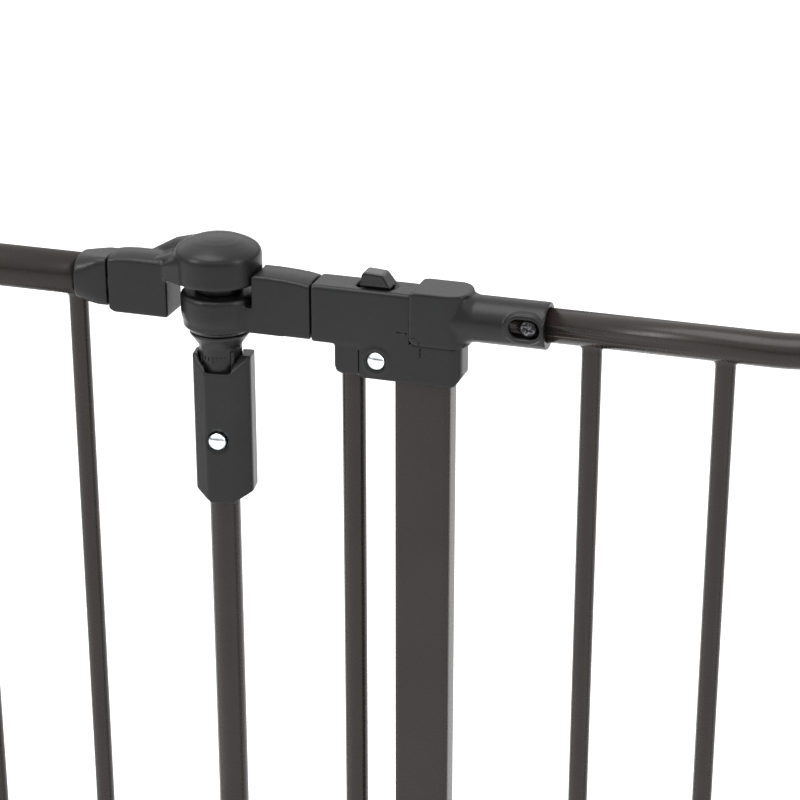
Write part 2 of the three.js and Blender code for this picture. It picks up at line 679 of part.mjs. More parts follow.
function lowCatch() {
  const base = box(138, 166, -13, 13, THRESHOLD_Z1 + GAP, 29.5);
  const horn = (s) => box(141, 163, s * 8 - 2.5, s * 8 + 2.5, 29, 39);
  return union(base, horn(-1), horn(1));
}

function topHingePin() {
  return lathe([[0, -31.5], [PIN_R, -31.5], [PIN_R, 7.6], [PIN_R - 1, 8.6], [0, 8.6]], 0, 0, 0, 16);
}

function lowHingePin() {
  const z0 = THRESHOLD_Z1 + GAP;
  return lathe([[0, z0], [9, z0], [9, 28], [PIN_R, 28], [PIN_R, 56], [PIN_R - 1, 57], [0, 57]], 0, 0, 0, 16);
}

function hingeBush() {
  const ring = cylinder("z", 9.5, 28.4, 34.2, 0, 0, 24);
  return cut(ring, cylinder("z", PIN_R + RUN, 20, 40, 0, 0, 16));
}

function thresholdBar() {
  const x0 = THRESHOLD_END;
  const x1 = RIGHT_JOINT_X - THRESHOLD_END;
  const bar = (inset, a, b) =>
    slab(roundedShape(a, b, THRESHOLD_Z0 + inset, THRESHOLD_Z1 - inset, 0.5), THRESHOLD_HALF_D - inset);
  const outer = bar(0, x0, x1);
  return cut(outer, bar(1.5, x0 - 2, x1 + 2));
}

function frameGroup() {
  const group = new THREE.Group();
  const latch = piece("latch_housing", latchHousing(), plastic);
  const hinge = piece("hinge_housing", hingeHousing(), plastic);
  const slider = piece("lock_slider", lockSlider(), gloss);
  const spring = piece("lock_spring", lockSpring(), zinc);
  const topPin = piece("top_hinge_pin", topHingePin(), zinc);
  [latch, hinge, slider, spring, topPin].forEach((m) => (m.position.z = RAIL_Z));
  topPin.position.x = SWING_X;
  const lowPin = piece("bottom_hinge_pin", lowHingePin(), zinc);
  lowPin.position.x = SWING_X;
  const bush = piece("hinge_bush", hingeBush(), plastic);
  bush.position.x = SWING_X;
  const latchSnap = piece("latch_snap_button", snapButton(7.2, 4.6), zinc);
  latchSnap.position.set(LATCH_SNAP_X, 0, HOUSING_SNAP_Z);
  const hingeSnap = piece("hinge_snap_button", snapButton(7.2, 4.6), zinc);
  hingeSnap.position.set(HINGE_POST_X + 3, 0, RAIL_Z + 2);
  const sideBar = tube("z", SIDE_BAR_R, THRESHOLD_Z1 + GAP, RAIL_Z - 20, SIDE_BAR_X, 0, 14);
  group.add(
    latch, hinge, slider, spring, topPin, lowPin, bush, latchSnap, hingeSnap,
    piece("latch_post", doorwayPost(LATCH_POST_X), bronze),
    piece("hinge_post", doorwayPost(HINGE_POST_X), bronze),
    piece("side_bar", sideBar, bronze),
    piece("threshold_bar", thresholdBar(), bronze),
    piece("bottom_catch", lowCatch(), plastic),
  );
  return group;
}

function doorGroup() {
  const group = new THREE.Group();
  const screwX = 164.3;
  const rail = archedRail(138.5, SWING_X - 15.5, DOOR_MID_X, DOOR_RAIL_R);
  const screwHole = cylinder("y", 2.5, -12, -1, screwX, RAIL_Z, 12);
  const lowRail = tube("x", DOOR_RAIL_R, 160.5, SWING_X - 13, 0, DOOR_LOW_RAIL_Z);
  const lowClear = cylinder("x", DOOR_RAIL_R + GAP, 160, SWING_X - 12, 0, DOOR_LOW_RAIL_Z, 18);
  for (let i = 0; i < DOOR_BARS; i++) {
    const x = FIRST_DOOR_BAR_X + BAR_PITCH * i;
    const below = box(x - 9, x + 9, -9, 9, 0, DOOR_LOW_RAIL_Z);
    const bar = cut(infillBar(x, DOOR_LOW_RAIL_Z, rail.clearance), lowClear, below);
    group.add(piece("door_bar_" + (i + 1), bar, bronze));
  }
  const latchEnd = piece("latch_cap", latchCap(), plastic);
  const hingeEnd = piece("hinge_cap", hingeCap(), plastic);
  const screw = piece("adjusting_screw", adjustingScrew(screwX), blackScrew);
  [latchEnd, hingeEnd, screw].forEach((m) => (m.position.z = RAIL_Z));
  group.add(
    latchEnd, hingeEnd, screw,
    piece("door_top_rail", cut(rail.tube, screwHole), bronze),
    piece("door_bottom_rail", lowRail, bronze),
    piece("bottom_hinge_cap", lowHingeCap(), plastic),
    piece("bottom_latch_cap", lowLatchCap(), plastic),
  );
  return group;
}

const gate = new THREE.Group();
gate.add(
  frameGroup(),
  doorGroup(),
  jointGroup("left", 0, 0),
  jointGroup("right", RIGHT_JOINT_X, Math.PI),
  panelGroup("left", 0, 0),
  panelGroup("right", RIGHT_JOINT_X, -Math.PI / 2),
);

export default gate;
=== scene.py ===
"""Looks for the safety baby gate: finely shaped mouldings, tubes and hardware on the CAD frame."""

import json
import math

import bmesh
import bpy
from mathutils import Matrix, Vector


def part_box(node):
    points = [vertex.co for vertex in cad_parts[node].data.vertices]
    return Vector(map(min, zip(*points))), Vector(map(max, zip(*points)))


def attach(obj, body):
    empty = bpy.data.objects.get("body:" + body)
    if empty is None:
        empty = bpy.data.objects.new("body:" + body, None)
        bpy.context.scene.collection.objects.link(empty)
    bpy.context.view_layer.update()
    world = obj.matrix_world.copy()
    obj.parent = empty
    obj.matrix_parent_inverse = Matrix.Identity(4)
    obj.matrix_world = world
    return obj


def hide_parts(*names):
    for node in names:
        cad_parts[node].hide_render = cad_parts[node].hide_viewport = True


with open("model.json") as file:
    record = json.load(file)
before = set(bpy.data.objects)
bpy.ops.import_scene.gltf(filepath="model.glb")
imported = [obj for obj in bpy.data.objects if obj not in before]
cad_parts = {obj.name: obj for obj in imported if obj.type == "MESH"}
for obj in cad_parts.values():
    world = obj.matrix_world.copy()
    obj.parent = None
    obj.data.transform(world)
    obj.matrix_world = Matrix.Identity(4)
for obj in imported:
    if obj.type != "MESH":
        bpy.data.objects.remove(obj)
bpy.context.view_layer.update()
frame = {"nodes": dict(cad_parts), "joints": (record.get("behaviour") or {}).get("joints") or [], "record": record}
joints = {j["name"]: j for j in frame["joints"]}

# Shapes are drawn in millimetres in the CAD's frame. Materials, lights and camera are in metres.
MM = 0.001
FIRST_BAR_X, PANEL_PITCH, PANEL_BARS = -78.2, 67.0, 8
PANEL_RAIL_R, DOOR_RAIL_R = 11.0, 8.6
PANEL_RAIL_END = -68.5
BAR_R, POST_R, SIDE_BAR_R = 5.0, 8.0, 6.0
TUBE_WALL = 1.2
FOOT_TOP = 3.3
ROUND = 96
VOXEL = 0.55
SPIGOT_BORE = 8.9
RAIL_Z = joints["left_swivel"]["pos_m"][2] / MM
RIGHT_X = joints["right_swivel"]["pos_m"][0] / MM
SWING_X = joints["door_swing"]["pos_m"][0] / MM
BUTTON_PUSH = joints["left_joint_button_press"]["axis"]
JOINT_TURN = math.atan2(-BUTTON_PUSH[0], BUTTON_PUSH[1])
JOINT_BUTTON_Z = -78.5
SPINDLE_BORE = 8.3
SNAP_R, SNAP_HOLE = 4.75, 5.05
HALF_D = 10.0
GATE = Matrix.Scale(MM, 4)
AT_RAIL = Matrix.Scale(MM, 4) @ Matrix.Translation((0, 0, RAIL_Z))
scene = bpy.context.scene


def centre(node):
    low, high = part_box(node)
    return (low + high) / (2 * MM)


# ---------------------------------------------------------------- mesh code, in millimetres


def lathe(profile, sides=72, axis="z", at=(0, 0, 0)):
    """A turned solid: profile is [(radius, height)...] from axis to axis, going up."""
    bm = bmesh.new()
    rings = []
    for r, h in profile:
        if r < 1e-6:
            rings.append([bm.verts.new((0, 0, h))])
            continue
        ring = []
        for i in range(sides):
            a = 2 * math.pi * i / sides
            ring.append(bm.verts.new((r * math.cos(a), r * math.sin(a), h)))
        rings.append(ring)
    for low, high in zip(rings, rings[1:]):
        for i in range(sides):
            j = (i + 1) % sides
            if len(low) == 1 and len(high) > 1:
                bm.faces.new((low[0], high[j], high[i]))
            elif len(high) == 1 and len(low) > 1:
                bm.faces.new((low[i], low[j], high[0]))
            elif len(low) > 1:
                bm.faces.new((low[i], low[j], high[j], high[i]))
    turn = {
        "z": Matrix.Identity(4),
        "x": Matrix.Rotation(math.pi / 2, 4, "Y"),
        "y": Matrix.Rotation(-math.pi / 2, 4, "X"),
        "-y": Matrix.Rotation(math.pi / 2, 4, "X"),
    }[axis]
    bm.transform(Matrix.Translation(at) @ turn)
    return bm


def rod(axis, r, start, end, at=(0, 0), sides=72):
    """A plain round rod along x, y or z; at is its place on the other two axes."""
    place = {"x": (0, at[0], at[1]), "y": (at[0], 0, at[1]), "z": (at[0], at[1], 0)}[axis]
    return lathe([(0, start), (r, start), (r, end), (0, end)], sides, axis, place)


def prism(outline, low, high, axis="z"):
    """An outline extruded from low to high: drawn in X and Y for axis z, in X and Z for axis y."""
    bm = bmesh.new()
    if axis == "z":
        points = [[(x, y, h) for x, y in outline] for h in (low, high)]
    else:
        points = [[(x, h, z) for x, z in outline] for h in (low, high)]
    rings = [[bm.verts.new(p) for p in ring] for ring in points]
    bm.faces.new(rings[0][::-1])
    bm.faces.new(rings[1])
    for i in range(len(outline)):
        j = (i + 1) % len(outline)
        bm.faces.new((rings[0][i], rings[0][j], rings[1][j], rings[1][i]))
    bmesh.ops.recalc_face_normals(bm, faces=bm.faces)
    return bm


def block(x0, x1, y0, y1, z0, z1):
    return prism([(x0, y0), (x1, y0), (x1, y1), (x0, y1)], z0, z1)


def rounded(points, steps=6):
    """A polygon whose corners are rounded: points are (u, v, radius)."""
    out = []
    for i, (u, v, r) in enumerate(points):
        corner = Vector((u, v))
        if r <= 0:
            out.append((u, v))
            continue
        before = Vector(points[i - 1][:2]) - corner
        after = Vector(points[(i + 1) % len(points)][:2]) - corner
        half = before.angle(after) / 2
        reach = min(r / math.tan(half), 0.49 * before.length, 0.49 * after.length)
        start = corner + before.normalized() * reach
        end = corner + after.normalized() * reach
        for k in range(steps + 1):
            t = k / steps
            p = start * (1 - t) ** 2 + corner * 2 * t * (1 - t) + end * t * t
            out.append((p.x, p.y))
    return out


def capsule(x0, x1, z0, z1, steps=12):
    """An oblong with round ends, as an X-Z outline."""
    r = (z1 - z0) / 2
    mid = (z0 + z1) / 2
    out = []
    for side, x in ((1, x1 - r), (-1, x0 + r)):
        for k in range(steps + 1):
            a = side * math.pi / 2 - math.pi * k / steps
            out.append((x + r * math.cos(a), mid + r * math.sin(a)))
    return out


def loft(sections, steps=6, crown=0.0):
    """A body along X: sections are (x, half width, z low, z high, top corner, bottom corner).
    crown raises the middle of the top face."""
    bm = bmesh.new()
    rings = []
    for x, half, low, high, top, bottom in sections:
        across = (0.75, 0.5, 0.25, 0, -0.25, -0.5, -0.75) if crown else ()
        ridge = [(half * t, high + crown * (1 - t * t), 0) for t in across]
        corners = [
            (-half, low, bottom), (half, low, bottom),
            (half, high, top), *ridge, (-half, high, top),
        ]
        outline = rounded(corners, steps)
        rings.append([bm.verts.new((x, y, z)) for y, z in outline])
    bm.faces.new(rings[0])
    bm.faces.new(rings[-1][::-1])
    count = len(rings[0])
    for a, b in zip(rings, rings[1:]):
        for i in range(count):
            j = (i + 1) % count
            bm.faces.new((a[i], b[i], b[j], a[j]))
    bmesh.ops.recalc_face_normals(bm, faces=bm.faces)
    return bm


def ball(x, y, z, r):
    bm = bmesh.new()
    bmesh.ops.create_uvsphere(bm, u_segments=24, v_segments=16, radius=r)
    bm.transform(Matrix.Translation((x, y, z)))
    return bm


def hull(*parts):
    """The convex hull of several solids."""
    bm = joined(*parts)
    loose = [v.co.copy() for v in bm.verts]
    bm.free()
    bm = bmesh.new()
    for co in loose:
        bm.verts.new(co)
    bmesh.ops.remove_doubles(bm, verts=bm.verts, dist=1e-4)
    made = bmesh.ops.convex_hull(bm, input=bm.verts)
    inside = set(made["geom_interior"] + made["geom_unused"])
    spare = [v for v in inside if isinstance(v, bmesh.types.BMVert)]
    bmesh.ops.delete(bm, geom=spare, context="VERTS")
    bmesh.ops.recalc_face_normals(bm, faces=bm.faces)
    return bm


def joined(*parts):
    mesh = bpy.data.meshes.new("part")
    bm = bmesh.new()
    for part in parts:
        part.to_mesh(mesh)
        part.free()
        bm.from_mesh(mesh)
    bpy.data.meshes.remove(mesh)
    return bm


def as_mesh(bm, name):
    mesh = bpy.data.meshes.new(name)
    bm.to_mesh(mesh)
    bm.free()
    return mesh


def linked(mesh, name):
    obj = bpy.data.objects.new(name, mesh)
    scene.collection.objects.link(obj)
    return obj


def applied(obj):
    """The object's mesh with its modifiers applied; the object is removed."""
    bpy.context.view_layer.update()
    final = obj.evaluated_get(bpy.context.evaluated_depsgraph_get())
    mesh = bpy.data.meshes.new_from_object(final)
    old = obj.data
    bpy.data.objects.remove(obj)
    bpy.data.meshes.remove(old)
    return mesh


def carve(mesh, operation, *tools):
    """Cuts (DIFFERENCE) or keeps the common part (INTERSECT) with each tool in turn."""
    for tool in tools:
        obj = linked(mesh, "work")
        other = linked(as_mesh(tool, "tool"), "tool")
        mod = obj.modifiers.new("cut", "BOOLEAN")
        mod.operation = operation
        mod.solver = "EXACT"
        mod.object = other
        mesh = applied(obj)
        tool_mesh = other.data
        bpy.data.objects.remove(other)
        bpy.data.meshes.remove(tool_mesh)
    return mesh


def fused(mesh, voxel, rounds):
    """Overlapping solids made one skin, with every edge and crease softened."""
    obj = linked(mesh, "work")
    remesh = obj.modifiers.new("remesh", "REMESH")
    remesh.mode = "VOXEL"
    remesh.voxel_size = voxel
    if rounds:
        smooth = obj.modifiers.new("smooth", "SMOOTH")
        smooth.factor = 0.5
        smooth.iterations = rounds
    return applied(obj)


def moulding(solids, cuts=(), voxel=VOXEL, rounds=4, crisp=()):
    """One moulded body: solids fused, cuts taken out, edges softened, then the crisp cuts."""
    mesh = as_mesh(joined(*solids), "moulding")
    if cuts:
        mesh = fused(mesh, voxel, 0)
        mesh = carve(mesh, "DIFFERENCE", *cuts)
    mesh = fused(mesh, voxel, rounds)
    return carve(mesh, "DIFFERENCE", *crisp)


def show(mesh, name, matrix, body, slot, nodes=(), bevel=0.0):
    """A finished piece: placed, shaded, given its slot's material, riding on its body."""
    mesh = mesh.copy()
    mesh.transform(matrix)
    obj = linked(mesh, name)
    mesh.materials.clear()
    mesh.materials.append(MATERIALS[slot])
    for face in mesh.polygons:
        face.use_smooth = True
    if bevel:
        mod = obj.modifiers.new("bevel", "BEVEL")
        mod.width = bevel * MM
        mod.segments = 3
        mod.limit_method = "ANGLE"
        mod.angle_limit = math.radians(35)
        mod.harden_normals = True
    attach(obj, body)
    if nodes:
        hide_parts(*nodes)
    return obj


# ---------------------------------------------------------------- materials


def noise_bump(nodes, links, coords, scale, strength, distance, detail=2.0):
    """A noise texture as a bump; returns the bump node and the noise node."""
    noise = nodes.new("ShaderNodeTexNoise")
    noise.inputs["Scale"].default_value = scale
    noise.inputs["Detail"].default_value = detail
    links.new(coords, noise.inputs["Vector"])
    bump = nodes.new("ShaderNodeBump")
    bump.inputs["Strength"].default_value = strength
    bump.inputs["Distance"].default_value = distance
    links.new(noise.outputs["Fac"], bump.inputs["Height"])
    return bump, noise


def finish_material(
    name, dark, light, rough, grain, depth, metallic=0.0, coat=0.0, specular=0.5, edge_highlight=None
):
    """A procedural finish: colour drifting between dark and light, roughness between the rough
    pair, and a two-scale surface grain (noise scale per metre, and its depth). The last colour,
    if given, lightens convex edges: a painted highlight."""
    mat = bpy.data.materials.new(name)
    mat.use_nodes = True
    nodes, links = mat.node_tree.nodes, mat.node_tree.links
    shader = nodes["Principled BSDF"]
    shader.inputs["Metallic"].default_value = metallic
    shader.inputs["Coat Weight"].default_value = coat
    shader.inputs["Coat Roughness"].default_value = 0.12
    shader.inputs["Specular IOR Level"].default_value = specular
    coords = nodes.new("ShaderNodeTexCoord").outputs["Object"]
    drift = nodes.new("ShaderNodeTexNoise")
    drift.inputs["Scale"].default_value = 18.0
    drift.inputs["Detail"].default_value = 5.0
    links.new(coords, drift.inputs["Vector"])
    ramp = nodes.new("ShaderNodeValToRGB")
    ramp.color_ramp.elements[0].position = 0.35
    ramp.color_ramp.elements[1].position = 0.68
    ramp.color_ramp.elements[0].color = (*dark, 1)
    ramp.color_ramp.elements[1].color = (*light, 1)
    links.new(drift.outputs["Fac"], ramp.inputs["Fac"])
    colour = ramp.outputs["Color"]
    # Painted highlight: convex edges, found by pointiness, are mixed towards the lighter edge colour in place of
    # the highlights on rounded edges.
    if edge_highlight:
        geometry = nodes.new("ShaderNodeNewGeometry")
        edge = nodes.new("ShaderNodeMapRange")
        edge.inputs["From Min"].default_value = 0.53
        edge.inputs["From Max"].default_value = 0.62
        links.new(geometry.outputs["Pointiness"], edge.inputs["Value"])
        mix = nodes.new("ShaderNodeMix")
        mix.data_type = "RGBA"
        mix.inputs["B"].default_value = (*edge_highlight, 1)
        links.new(edge.outputs["Result"], mix.inputs["Factor"])
        links.new(colour, mix.inputs["A"])
        colour = mix.outputs["Result"]
    links.new(colour, shader.inputs["Base Color"])
    coarse, _ = noise_bump(nodes, links, coords, grain * 0.22, 0.25, depth * 2.2, 3.0)
    fine, speck = noise_bump(nodes, links, coords, grain, 0.5, depth)
    links.new(coarse.outputs["Normal"], fine.inputs["Normal"])
    links.new(fine.outputs["Normal"], shader.inputs["Normal"])
    gloss = nodes.new("ShaderNodeMapRange")
    gloss.inputs["From Min"].default_value = 0.3
    gloss.inputs["From Max"].default_value = 0.7
    gloss.inputs["To Min"].default_value = rough[0]
    gloss.inputs["To Max"].default_value = rough[1]
    links.new(speck.outputs["Fac"], gloss.inputs["Value"])
    links.new(gloss.outputs["Result"], shader.inputs["Roughness"])
    return mat


# The moulded black and black oxide finishes carry a lighter edge colour: a painted highlight on their convex
# edges.
MATERIALS = {
    "black_plastic": finish_material(
        "moulded_black", (0.0052, 0.0053, 0.0056), (0.0075, 0.0076, 0.0080), (0.27, 0.40),
        grain=1500, depth=0.00005, specular=0.25, edge_highlight=(0.024, 0.0245, 0.026),
    ),
    "bronze_coat": finish_material(
        "bronze_powder_coat", (0.0115, 0.0083, 0.0070), (0.0150, 0.0110, 0.0092), (0.24, 0.32),
        grain=700, depth=0.00002, metallic=0.1, coat=0.04, specular=0.26,
    ),
    "gloss_plastic": finish_material(
        "gloss_black", (0.004, 0.004, 0.0045), (0.006, 0.006, 0.0065), (0.08, 0.16),
        grain=700, depth=0.00001, coat=0.1, specular=0.35,
    ),
    "zinc": finish_material(
        "bright_zinc", (0.60, 0.64, 0.67), (0.78, 0.82, 0.85), (0.08, 0.2),
        grain=900, depth=0.00002, metallic=1.0,
    ),
    "black_screw": finish_material(
        "black_oxide", (0.010, 0.010, 0.011), (0.02, 0.02, 0.022), (0.16, 0.28),
        grain=1800, depth=0.00003, metallic=0.6, edge_highlight=(0.12, 0.12, 0.125),
    ),
    "rubber_foot": finish_material(
        "matte_rubber", (0.014, 0.014, 0.0145), (0.022, 0.022, 0.023), (0.75, 0.92),
        grain=1300, depth=0.00008, specular=0.3,
    ),
}

slots = {part["node"]: part["material_slot"] for part in frame["record"]["subparts"]}
for name, node in frame["nodes"].items():
    node.data.materials.clear()
    node.data.materials.append(MATERIALS[slots[name]])


# ---------------------------------------------------------------- swivel joint


def dome_profile():
    return [
        (0, 5.6), (20.8, 5.6), (21.8, 5.9), (22.3, 6.9), (22.3, 18.4), (22.0, 20.4), (21.0, 22.2),
        (19.3, 23.6), (16.5, 25.1), (12.6, 26.8), (8, 27.9), (4, 28.4), (0, 28.5),
    ]


def neck_outline(radius, fillet, half, reach):
    """Plan of a round boss running into a straight arm along -X, with filleted corners."""
    along = -math.sqrt((radius + fillet) ** 2 - (half + fillet) ** 2)
    tangent = math.atan2(half + fillet, -along)
    side = [(reach, -half), (along, -half)]
    for k in range(1, 9):
        a = math.pi / 2 + (tangent - math.pi / 2) * k / 8
        side.append((along + fillet * math.cos(a), -half - fillet + fillet * math.sin(a)))
    start = math.atan2(-half - fillet, along) + 2 * math.pi
    for k in range(1, 25):
        a = start + (2 * math.pi - start) * k / 24
        side.append((radius * math.cos(a), radius * math.sin(a)))
    return side + [(x, -y) for x, y in side[::-1][1:]]


def upper_arm():
    crown = [(-57.0, 12.4), (-53, 13.3), (-46, 13.8), (-32, 13.8), (0, 13.6)]
    step = [*crown[:3], (-24.8, 13.8)]
    low_block = loft([(x, HALF_D, -15.6, z, 2.6, 1.6) for x, z in step], crown=2.4)
    top_bar = loft([(x, HALF_D, 4.5, z, 2.6, 0.6) for x, z in crown], crown=2.4)
    dome = lathe(dome_profile(), ROUND)
    shoulder = lathe([(0, 10), (13, 10), (13, 22.5), (10, 25.5), (0, 27)], 48, "z", (-1, 6, 0))
    tail = hull(shoulder, ball(-36, 8.2, 12.6, 3.4), ball(-23, 7.6, 15.3, 7.4))
    ramp = hull(
        block(-33, -32, -7, 9, 10, 14.4),
        lathe([(0, 10), (17, 10), (17, 19.5), (14, 22.3), (0, 23)], 48, "z", (-2, 1, 0)),
    )
    web = hull(
        block(-26, -25, -10.4, 10.4, 5.2, 13.2),
        lathe([(0, 5.7), (21.9, 5.7), (21.9, 17), (21.2, 20), (0, 20)], ROUND),
    )
    corner = prism([(-59, -11.6), (-52.5, -17.1), (-59, -17.1)], -12, 12, "y")
    spigot = rod("x", 9.1, -95, -56)
    bore = rod("z", SPINDLE_BORE, -20, 19)
    solids = [low_block, top_bar, dome, tail, ramp, web, spigot]
    return moulding(solids, [corner, bore], rounds=6)


def eye_top(clear=0.0):
    """The rounded top rim of the lower eye, from its wall inwards; clear lifts it all round."""
    rim = [(19.6, -5.0), (19.6, -2.8), (19.25, -1.5), (18.3, -0.6), (17, -0.3), (0, -0.3)]
    return [(r + clear if r else 0, z + clear) for r, z in rim]


def lower_arm():
    disc = lathe(
        [(0, -21.0), (15.4, -21.0), (16.2, -20.4), (17.6, -18.0), (18.6, -15.6), (19.4, -12.6),
         (19.6, -10.5), *eye_top()],
        ROUND,
    )
    low = prism(neck_outline(18.6, 8, HALF_D, -38), -18.3, -5.6)
    low.transform(Matrix.Rotation(math.pi, 4, "Z"))
    crown = [(18, 11.9), (30, 12.0), (40, 11.5), (47, 10.8), (52.0, 9.8)]
    arm = loft([(x, HALF_D, -18.3, z, 2.2, 1.4) for x, z in crown], crown=1.4)
    well = lathe([*eye_top(0.05)[::-1], (23.4, -5), (23.4, 40), (0, 40)], ROUND)
    plug = rod("x", 7, 50, 61, (0, -4))
    bore = rod("z", SPINDLE_BORE, -40, 30)
    return moulding([disc, low, arm, plug], [well, bore])


def collar():
    body = loft(
        [
            (-75.2, 11.9, -11.9, 11.9, 11.7, 11.7),
            (-74.4, 12.2, -12.2, 12.2, 11.3, 11.3),
            (-68, 12.0, -12.9, 12.7, 8.2, 8.8),
            (-63, 11.4, -13.3, 13.1, 5.2, 6.4),
            (-57.7, 10.5, -13.0, 13.0, 3.0, 4.4),
        ],
        8,
    )
    bores = [
        rod("x", PANEL_RAIL_R + 0.2, -90, -68), rod("x", 9.8, -72, -50),
        rod("z", BAR_R + 0.3, -60, 0, (FIRST_BAR_X, 0)),
    ]
    return moulding([body], [], 0.6, 3, crisp=bores)


def sleeve():
    front = [
        (-13.8, -5.8, 3), (-7.2, -12.3, 4), (-5.4, -14.0, 1.8),
        (7.4, -14.0, 1.8), (9.4, -12.3, 4), (16.6, -5.8, 3),
    ]
    outline = rounded([*front, *[(x, -y, corner) for x, y, corner in front[::-1]]])
    outline = [(x, max(-13.2, min(13.2, y))) for x, y in outline]
    body = prism(outline, -113.7, -33.9)
    middle = 1.4
    cuts = [rod("z", 11.8, -60, -20), rod("z", SPINDLE_BORE, -120, -50)]
    for s in (-1, 1):
        side, inner = middle + s * 18, middle + s * 6.6
        under = [(side, -107.4), (side, -117), (inner, -117), (inner, -112.8)]
        cuts.append(prism(under, -16, 16, "y"))
        lip, brow = sorted((s * 14.4, s * 20)), sorted((s * 5.5, s * 20))
        cuts.append(hull(block(-22, 22, *lip, -42, -20), block(-20, 20, *brow, -34.2, -21)))
        near, far = sorted((s * 7.6, s * 7.7)), sorted((s * 12.4, s * 16))
        cuts.append(hull(block(-6.4, 7.9, *near, -40.4, -20), block(-5.6, 7.1, *far, -41.6, -20)))
    hole = rod("y", 5.3, -20, 0, (0, JOINT_BUTTON_Z))
    rim = [(0, -13.6), (7.2, -13.6), (6.0, -12.5), (0, -12.5)]
    dimple = lathe(rim, 64, "y", (0, 0, JOINT_BUTTON_Z))
    return moulding([body], [*cuts, dimple], rounds=7, crisp=[hole])


def spindle():
    profile = [
        (0, -60), (11.0, -60), (11.0, -30.0), (11.3, -28.6), (14.9, -23.5), (15.5, -22.7),
        (15.6, -21.9), (15.2, -21.4), (8, -21.4), (8, 0), (12, 0), (12.2, 0.4), (12.2, 4.9),
        (12, 5.3), (8, 5.3), (8, 18), (0, 18),
    ]
    return as_mesh(lathe(profile, ROUND), "spindle")


def graduations():
    """Raised generic tick marks round the front of the spindle's neck, and its keyway rib."""
    marks = []
    for i in range(7):
        angle = math.radians(-128 + 12 * i)
        height = 3.4 if i % 3 == 0 else 2.0
        tick = block(10.8, 11.5, -0.35, 0.35, -33.6 - height, -33.6)
        tick.transform(Matrix.Rotation(angle, 4, "Z"))
        marks.append(tick)
    rib = block(10.8, 11.8, -0.8, 0.8, -58, -31)
    rib.transform(Matrix.Rotation(math.radians(-38), 4, "Z"))
    return as_mesh(joined(*marks, rib), "graduations")


def snap_head(reach, back):
    """A pressed-steel button: shank with a low domed head, pointing along -Y."""
    r, dome = SNAP_R, 2.4
    profile = [(0, 0), (r + 0.45, 0), (r + 0.45, 0.8), (r, 0.8), (r, reach - dome)]
    for k in range(1, 11):
        a = math.pi / 2 * k / 10
        profile.append((r * math.cos(a) if k < 10 else 0, reach - dome + dome * math.sin(a)))
    return as_mesh(lathe(profile, 56, "-y", (0, -back, 0)), "snap_head")


def circle(r, sides):
    """Points round a circle, as (x, y)."""
    turns = [2 * math.pi * i / sides for i in range(sides)]
    return [(r * math.cos(a), r * math.sin(a)) for a in turns]


def tube_mesh(r, low, high, sides=48):
    """An upright tube, open at both ends. Close rings keep its shading even up to its top end."""
    outer = [(r, low), *[(r, high - down) for down in (2.4, 1.2, 0.4, 0)]]
    inner = [(r - TUBE_WALL, high), (r - TUBE_WALL, low)]
    bm = bmesh.new()
    rings = []
    for radius, z in [*outer, *inner]:
        rings.append([bm.verts.new((x, y, z)) for x, y in circle(radius, sides)])
    for a, b in zip(rings, rings[1:] + rings[:1]):
        for i in range(sides):
            j = (i + 1) % sides
            bm.faces.new((a[i], a[j], b[j], b[i]))
    bmesh.ops.recalc_face_normals(bm, faces=bm.faces)
    return as_mesh(bm, "tube")


shapes = {
    "upper_arm": upper_arm(),
    "lower_arm": lower_arm(),
    "collar": collar(),
    "post_sleeve": sleeve(),
    "pivot_spindle": spindle(),
    "graduations": graduations(),
    "snap": snap_head(12.9, 3),
    "short_snap": snap_head(7.4, 4.6),
    "joint_post": tube_mesh(POST_R, FOOT_TOP, RAIL_Z - 60.5),
}
SIDES = {
    "left": (Matrix.Identity(4), Matrix.Identity(4)),
    "right": (
        Matrix.Translation((RIGHT_X, 0, 0)),
        Matrix.Translation((RIGHT_X, 0, 0)) @ Matrix.Rotation(-math.pi / 2, 4, "Z"),
    ),
}
for side, (place, panel) in SIDES.items():
    up = Matrix.Translation((0, 0, RAIL_Z))
    turned = place @ Matrix.Rotation(0 if side == "left" else math.pi, 4, "Z")
    facing = place @ Matrix.Rotation(JOINT_TURN, 4, "Z")
    button_at = facing @ Matrix.Translation((0, 0, RAIL_Z + JOINT_BUTTON_Z))
    pieces = (
        ("upper_arm", "_arm_and_dome", panel @ up, side + "_panel", "_upper_arm"),
        ("collar", "_rail_collar", panel @ up, side + "_panel", "_collar"),
        ("lower_arm", "_arm_and_eye", turned @ up, "door_frame", "_lower_arm"),
        ("post_sleeve", "_lock_sleeve", facing @ up, "door_frame", "_post_sleeve"),
    )
    for shape, name, at, body, node in pieces:
        show(shapes[shape], side + name, GATE @ at, body, "black_plastic", [side + node])
    show(shapes["pivot_spindle"], side + "_spindle", GATE @ place @ up, "door_frame",
         "black_plastic", [side + "_pivot_spindle"], bevel=0.25)
    show(shapes["graduations"], side + "_spindle_marks", GATE @ place @ up, "door_frame",
         "black_plastic", bevel=0.15)
    show(shapes["snap"], side + "_button_head", GATE @ button_at, side + "_joint_button", "zinc",
         [side + "_snap_button"], bevel=0.2)
    show(shapes["joint_post"], side + "_post_tube", GATE @ place, "door_frame", "bronze_coat",
         [side + "_joint_post"], bevel=0.3)


# ---------------------------------------------------------------- latch end of the doorway


def oval_recess():
    return prism(capsule(73.4, 95.4, -7.4, 7.4), 10.3, 16)


FLAT_HALF_X, FLAT_HALF_Y = 14.5, 7.5
LATCH_BUTTON_X = centre("latch_snap_button").x
LATCH_X = centre("latch_post").x


